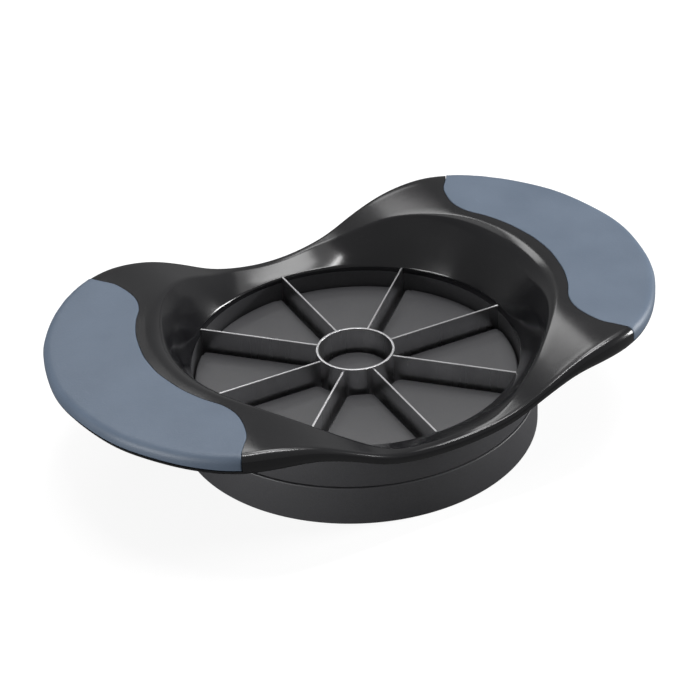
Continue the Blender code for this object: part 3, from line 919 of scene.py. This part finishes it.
def grip_plan(side, gap):
    """The grip's plan, grown inward by a gap, on the wing at side +1 or -1."""
    half = [(HALF_LENGTH * length, HALF_WIDTH * width) for length, width in GRIP_SHARES]
    edge = smooth_path([(x, -y) for x, y in reversed(half)] + half, GRIP_STEPS, False)
    plan = []
    for k, (x, y) in enumerate(edge):
        before, after = edge[max(k - 1, 0)], edge[min(k + 1, len(edge) - 1)]
        run = Vector((after[0] - before[0], after[1] - before[1])).normalized()
        plan.append((x - gap * run.y, y + gap * run.x))
    far = HALF_LENGTH + WING_WALL
    plan += [(far, plan[-1][1]), (far, plan[0][1])]
    return [(side * x, y) for x, y in plan]


def upright_prism(name, plan, height):
    count = len(plan)
    points = [(x, y, 0.0) for x, y in plan] + [(x, y, height) for x, y in plan]
    faces = [tuple(range(count)), tuple(range(count, 2 * count))]
    faces += [(k, (k + 1) % count, count + (k + 1) % count, count + k) for k in range(count)]
    return mesh_piece(name, points, faces)


print("grip plan:", len(grip_plan(1, 0.0)), "points")

# %% Cut the recesses into the frame
GRIP_REACH = 0.5 * HALF_LENGTH
GRIP_START = 55.0 * MM
PROUD = 1.0 * MM


def wing_layer(name, side, outside, inside, bottom_lift):
    """A layer that follows a wing's saddle, edge and wall, between two offsets."""
    strip = [section for section in sections if section.x * side > GRIP_REACH]
    strip.sort(key=lambda section: section.y)
    strips = []
    for section in strip:
        bottom = section.low + bottom_lift
        outer = section.saddle_points(GRIP_START, outside) + section.edge_points(bottom, outside)
        inner = section.saddle_points(GRIP_START, inside) + section.edge_points(bottom, inside)
        strips.append(outer + inner[::-1])
    return ring_mesh(name, strips, False)


for side in (1, -1):
    pocket = wing_layer("pocket", side, PROUD, -GRIP_SKIN - SEAM, GRIP_LIP - SEAM)
    area = upright_prism("area", grip_plan(side, SEAM), 2 * SADDLE_TOP)
    cut(pocket, area, "INTERSECT")
    cut(frame_shell, pocket, "DIFFERENCE")

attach(smooth(frame_shell), "cutter")
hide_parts("upper_frame")
print(frame_shell.name, len(frame_shell.data.polygons), "faces")

# %% Measure how far a point lies inside the grip's outline
GRIP_TURNS, GRIP_RADII = zip(*sorted((atan2(y, x), hypot(x, y)) for x, y in grip_plan(1, 0.0)[:-2]))
HALVINGS = 40


def inside_grip(x, y):
    """Distance from the grip's inner edge in plan, positive on the grip, for the right wing."""
    turn, radius = atan2(y, x), hypot(x, y)
    k = min(max(bisect_right(GRIP_TURNS, turn), 1), len(GRIP_TURNS) - 1)
    span = GRIP_TURNS[k] - GRIP_TURNS[k - 1]
    lean = (GRIP_RADII[k] - GRIP_RADII[k - 1]) / span
    edge = GRIP_RADII[k - 1] + lean * (turn - GRIP_TURNS[k - 1])
    return (radius - edge) / hypot(1.0, lean / radius)


def grip_end():
    """The place on the rim, in its first quarter, where the grip's end runs down the wall."""
    low, high = 0.0, len(rim) / 4
    for _ in range(HALVINGS):
        middle = (low + high) / 2
        x, y = rim_at(middle)[:2]
        if inside_grip(x, y) > 0:
            low = middle
        else:
            high = middle
    return low


GRIP_END = grip_end()
print("the grip ends at %.1f mm along X, %.1f mm along Y" % tuple(v / MM for v in rim_at(GRIP_END)[:2]))

# %% Lay the grips on the wings
GRIP_ROUND = 0.45 * MM
SKIN_EDGE = 1.3 * GRIP_ROUND
SKIN_PROUD = 0.25 * MM
CAP_BLEND = 0.15 * MM
ROUND_SHARES = (0.0, 0.06, 0.22, 0.45, 0.72, 1.0)
GRIP_ROWS = 26


def length_table(points):
    lengths = [0.0]
    for a, b in zip(points, points[1:]):
        lengths.append(lengths[-1] + (Vector(b) - Vector(a)).length)
    return lengths


def point_along(points, lengths, wanted):
    k = min(max(bisect_right(lengths, wanted), 1), len(points) - 1)
    share = (wanted - lengths[k - 1]) / (lengths[k] - lengths[k - 1])
    return between(points[k - 1], points[k], min(max(share, 0.0), 1.0))


def start_on_grip(points, lengths):
    """Length along a section at which it passes under the grip's inner edge."""
    depths = [inside_grip(point[0], point[1]) for point in points]
    for k in range(1, len(points)):
        if depths[k - 1] < 0 <= depths[k]:
            share = depths[k - 1] / (depths[k - 1] - depths[k])
            return lengths[k - 1] + share * (lengths[k] - lengths[k - 1])
    return lengths[-1] - GRIP_ROUND if depths[-1] < 0 else 0.0


def raised(point, section):
    """The skin stands a little proud of the frame on top, and runs out flush over the edge."""
    share = (point[2] - section.top + section.round) / section.round
    height = point[2] + SKIN_PROUD * smooth_step(share, 0.0, 1.0)
    return point[0], point[1], smooth_least(height, cad_box[1][2], CAP_BLEND)


def grip_strip(place):
    """One section of the grip: its skin with soft edges, then its inner face."""
    section = Section(place)
    bottom = section.low + GRIP_LIP
    outer = section.saddle_points(GRIP_START) + section.edge_points(bottom)
    inner = section.saddle_points(GRIP_START, -GRIP_SKIN) + section.edge_points(bottom, -GRIP_SKIN)
    lengths = length_table(outer)
    start, end = start_on_grip(outer, lengths), lengths[-1]
    edge = min(SKIN_EDGE, (end - start) / 3)
    stops = [start + edge * share for share in ROUND_SHARES]
    stops += [start + edge + (end - start - 2 * edge) * k / GRIP_ROWS for k in range(1, GRIP_ROWS)]
    stops += [end - edge * share for share in reversed(ROUND_SHARES)]
    skin, back_face = [], []
    for stop in stops:
        top = point_along(outer, lengths, stop)
        under = point_along(inner, lengths, stop)
        depth = min(inside_grip(*top[:2]), end - stop, GRIP_ROUND)
        gone = GRIP_ROUND - max(depth, 0.0)
        sink = GRIP_ROUND - sqrt(GRIP_ROUND ** 2 - gone ** 2)
        skin.append(raised(between(top, under, sink / GRIP_SKIN), section))
        back_face.append(under)
    return skin + back_face[::-1]


def grip_places():
    """Places of the sections, close together at both ends, where the edge is rounded."""
    step = (Vector(rim_at(GRIP_END)[:2]) - Vector(rim_at(GRIP_END - 1)[:2])).length
    ends = [GRIP_END - GRIP_ROUND / step * share for share in ROUND_SHARES]
    count = int(ends[-1])
    middle = [ends[-1] * k / count for k in range(-count + 1, count)]
    return [-place for place in ends] + middle + ends[::-1]


grips = []
right_strips = [grip_strip(place) for place in grip_places()]
for side, label in ((1, "right"), (-1, "left")):
    strips = [[(side * x, y, z) for x, y, z in strip] for strip in right_strips]
    grip = ring_mesh("grip_skin_" + label, strips, False)
    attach(smooth(grip), "cutter")
    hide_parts("grip_" + label)
    grips.append(grip)
    print(grip.name, len(grip.data.polygons), "faces")

# %% [markdown]
# ## Collar
#
# Collar, core ring and base are turned shapes with soft edges. A cylinder with a Bevel modifier
# would round all edges alike, so each section is drawn once, with its own radius at every corner.
# The seam between collar and base is only as visible as those corners are round. Blender's spin
# could turn the section, but once its seam is welded the faces come in another order on each run.
# So a loop lays the rings, and the mesh is the same every time.

# %% Draw a section with soft corners
EDGE_STEPS = 5
RING_STEPS = 192


def round_corner(before, here, after, soft):
    """The points of a soft corner between its two neighbours."""
    ways = [other - here for other in (before, after)]
    first, last = (here + way.normalized() * min(soft, way.length / 2) for way in ways)
    return [bend_point(first, here, last, step / EDGE_STEPS) for step in range(EDGE_STEPS + 1)]


def soft_corners(corners):
    """Points of an outline from rows of place, height and corner radius."""
    points = []
    for k, (radius, height, soft) in enumerate(corners):
        before, after = corners[k - 1][:2], corners[(k + 1) % len(corners)][:2]
        if soft:
            points += round_corner(Vector(before), Vector((radius, height)), Vector(after), soft)
        else:
            points.append((radius, height))
    return points


def turned_piece(name, corners):
    """Turn a section round the middle axis. A corner on the axis is one point."""
    points, rings, faces = [], [], []
    for radius, height in soft_corners(corners):
        steps = RING_STEPS if radius else 1
        rings.append([len(points) + k % steps for k in range(RING_STEPS)])
        turns = [2 * pi * k / RING_STEPS for k in range(steps)]
        points += [(radius * cos(turn), radius * sin(turn), height) for turn in turns]
    for here, there in zip(rings, rings[1:] + rings[:1]):
        for k in range(RING_STEPS):
            face = dict.fromkeys((here[k - 1], here[k], there[k], there[k - 1]))
            if len(face) > 2:
                faces.append(tuple(face))
    return mesh_piece(name, points, faces)


print("a ring has", RING_STEPS, "steps")

# %% Turn the collar
collar_low, collar_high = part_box("blade_collar")
COLLAR_EDGE = 0.25 * MM
COLLAR_FOOT_EDGE = 0.08 * MM
COLLAR_TOP = SEAT_HEIGHT - 0.05 * MM

collar_ring = turned_piece("collar_ring", (
    (BORE_RADIUS, collar_low[2], COLLAR_EDGE),
    (collar_high[0], collar_low[2], COLLAR_FOOT_EDGE),
    (collar_high[0], COLLAR_TOP, COLLAR_EDGE),
    (BORE_RADIUS, COLLAR_TOP, 0.0),
))
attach(smooth(collar_ring), "cutter")
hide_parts("blade_collar")
print(collar_ring.name, len(collar_ring.data.polygons), "faces")

# %% [markdown]
# ## Core ring and blades
#
# The engineering model leaves room for its joints round each blade, and a camera that comes near
# sees them as bright specks. On the real tool the blades are welded to the ring and moulded into
# the collar. So they are made once more as plain ground strips that end inside those walls.

# %% Turn the core ring and set the blades into it
ring_low, ring_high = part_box("core_ring")
blade_low, blade_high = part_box("blade_1")
CORE_INNER, CORE_OUTER = 10.75 * MM, ring_high[0]
BLADE_THICKNESS = 0.6 * MM
BLADE_COUNT = 8
CUTTING_EDGE = 0.1 * MM
GRIND_HEIGHT = 1.4 * MM
STEEL_EDGE = 0.1 * MM
BLADE_SEAT = 0.2 * MM


def core_section():
    """The ring's wall: sharp below, with softly broken edges above."""
    middle = (CORE_INNER + CORE_OUTER) / 2
    return (
        (middle - CUTTING_EDGE / 2, ring_low[2], 0.0),
        (middle + CUTTING_EDGE / 2, ring_low[2], 0.0),
        (CORE_OUTER, ring_low[2] + GRIND_HEIGHT, 0.0),
        (CORE_OUTER, ring_high[2], STEEL_EDGE),
        (CORE_INNER, ring_high[2], STEEL_EDGE),
        (CORE_INNER, ring_low[2] + GRIND_HEIGHT, 0.0),
    )


def blade_section():
    """Half thickness and height of a blade, from its ground lower edge up."""
    half = BLADE_THICKNESS / 2
    side = [
        (CUTTING_EDGE / 2, blade_low[2]),
        (half, blade_low[2] + GRIND_HEIGHT),
        (half, blade_high[2] - STEEL_EDGE),
        (half - STEEL_EDGE, blade_high[2]),
    ]
    return side + [(-reach, height) for reach, height in reversed(side)]


def blade_strip(number):
    """A blade that runs from inside the ring's wall to inside the collar's wall."""
    turn = 2 * pi * (number - 1) / BLADE_COUNT
    strips = []
    for radius in (CORE_OUTER - BLADE_SEAT, BORE_RADIUS + BLADE_SEAT):
        strips.append([
            (radius * cos(turn) - reach * sin(turn), radius * sin(turn) + reach * cos(turn), height)
            for reach, height in blade_section()
        ])
    return ring_mesh("blade_strip_%d" % number, strips, False)


steel_pieces = [(turned_piece("core_cutter", core_section()), "core_ring")]
for number in range(1, BLADE_COUNT + 1):
    steel_pieces.append((blade_strip(number), "blade_%d" % number))
for piece, node in steel_pieces:
    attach(smooth(piece), "cutter")
    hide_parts(node)
print(len(steel_pieces), "steel pieces")

# %% [markdown]
# ## Base with its pads
#
# The base is a turned disc on a rim, with eight wedge pads and a round one that reach up between
# the blades. Each pad is an outline in plan that is stacked a few times and drawn in a little at
# the top, which rounds its edge. The pads are joined to the disc, and hollowed from below as a
# moulding is, so that its walls stay even.

# %% Sizes of the base and its pads
base_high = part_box("push_base")[1]
PAD_TOP = base_high[2]
DECK_TOP = PAD_TOP - 4.2 * MM
BASE_WALL = 2.4 * MM
PAD_WALL = 2.0 * MM
PAD_EDGE = 0.6 * MM
PAD_CORNER = 1.4 * MM
PAD_BLADE_GAP = 1.1 * MM
PAD_RING_GAP = 1.8 * MM
PAD_OUTER = BORE_RADIUS - 0.6 * MM
BASE_TOP_EDGE = 0.40 * MM
BASE_FOOT_EDGE = 0.6 * MM
POCKET_OVERRUN = 1.0 * MM
PAD_ARC_STEPS = 16
MIDDLE_STEPS = 48
print("pads %.1f mm high" % ((PAD_TOP - DECK_TOP) / MM))

# %% Outlines of the pads


def rounded_plan(corners, soft):
    """The soft corners of a plan. The last one's neighbour is the first."""
    points = []
    for k, here in enumerate(corners):
        before, after = corners[k - 1], corners[(k + 1) % len(corners)]
        points += round_corner(Vector(before), Vector(here), Vector(after), soft)
    return points


def wedge_plan(turn, inset):
    """A pad between two blades, drawn in by an inset. Its sides are parallel to the blades."""
    half = pi / BLADE_COUNT
    side = BLADE_THICKNESS / 2 + PAD_BLADE_GAP + inset
    inner, outer = CORE_OUTER + PAD_RING_GAP + inset, PAD_OUTER - inset
    near, far = half - side / inner, half - side / outer
    turns = [far * (2 * k / PAD_ARC_STEPS - 1) for k in range(PAD_ARC_STEPS + 1)]
    corners = [(inner * cos(near), -inner * sin(near))]
    corners += [(outer * cos(place), outer * sin(place)) for place in turns]
    corners.append((inner * cos(near), inner * sin(near)))
    ends = rounded_plan([corners[0], corners[1], corners[-2], corners[-1]], PAD_CORNER)
    count = EDGE_STEPS + 1
    plan = ends[:2 * count] + corners[2:-2] + ends[2 * count:]
    return [(x * cos(turn) - y * sin(turn), x * sin(turn) + y * cos(turn)) for x, y in plan]


def middle_plan(inset):
    radius = CORE_INNER - PAD_BLADE_GAP - inset
    turns = [2 * pi * k / MIDDLE_STEPS for k in range(MIDDLE_STEPS)]
    return [(radius * cos(turn), radius * sin(turn)) for turn in turns]


def pad_plans(inset):
    turns = [2 * pi * (k + 0.5) / BLADE_COUNT for k in range(BLADE_COUNT)]
    return [wedge_plan(turn, inset) for turn in turns] + [middle_plan(inset)]


print(len(pad_plans(0.0)), "pads")

# %% Build the base


def stacked(name, levels):
    """Loft outlines of one count of points, from rows of outline and height."""
    rings = [[(x, y, height) for x, y in plan] for plan, height in levels]
    return ring_mesh(name, rings, False)


def soft_pads():
    """The pads, with their top edges rounded in a quarter circle."""
    pads = []
    count = len(pad_plans(0.0))
    turns = [pi / 2 * k / EDGE_STEPS for k in range(EDGE_STEPS + 1)]
    layers = [pad_plans(PAD_EDGE * (1 - cos(turn))) for turn in turns]
    for k in range(count):
        levels = [(layers[0][k], DECK_TOP - BASE_WALL / 2)]
        levels += [
            (layer[k], PAD_TOP - PAD_EDGE * (1 - sin(turn))) for layer, turn in zip(layers, turns)
        ]
        pads.append(stacked("pad", levels))
    return pads


def pad_pockets():
    return [
        stacked("pocket", ((plan, -POCKET_OVERRUN), (plan, PAD_TOP - PAD_WALL)))
        for plan in pad_plans(PAD_WALL)
    ]


edge = base_high[0]
base_disc = turned_piece("base_disc", (
    (0.0, DECK_TOP, 0.0),
    (edge, DECK_TOP, BASE_TOP_EDGE),
    (edge, 0.0, BASE_FOOT_EDGE),
    (edge - BASE_WALL, 0.0, BASE_FOOT_EDGE),
    (edge - BASE_WALL, DECK_TOP - BASE_WALL, BASE_FOOT_EDGE),
    (0.0, DECK_TOP - BASE_WALL, 0.0),
))
for pad in soft_pads():
    cut(base_disc, pad, "UNION")
for pocket in pad_pockets():
    cut(base_disc, pocket, "DIFFERENCE")
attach(smooth(base_disc), "base")
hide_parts("push_base")
print(base_disc.name, len(base_disc.data.polygons), "faces")

# %% [markdown]
# ## Finishes on their pieces
#
# A finish could be set as each piece is made. One list at the end shows which piece has which
# finish, and a forgotten piece would stand out in it.

# %% Put each finish on its pieces
FINISHES = (
    (gloss_black_plastic, [frame_shell]),
    (satin_black_plastic, [collar_ring, base_disc]),
    (soft_grip_grey, grips),
    (ground_steel, [piece for piece, _ in steel_pieces]),
)

for material, pieces in FINISHES:
    for piece in pieces:
        piece.data.materials.clear()
        piece.data.materials.append(material)
    print(material.name, "on", ", ".join(piece.name for piece in pieces))
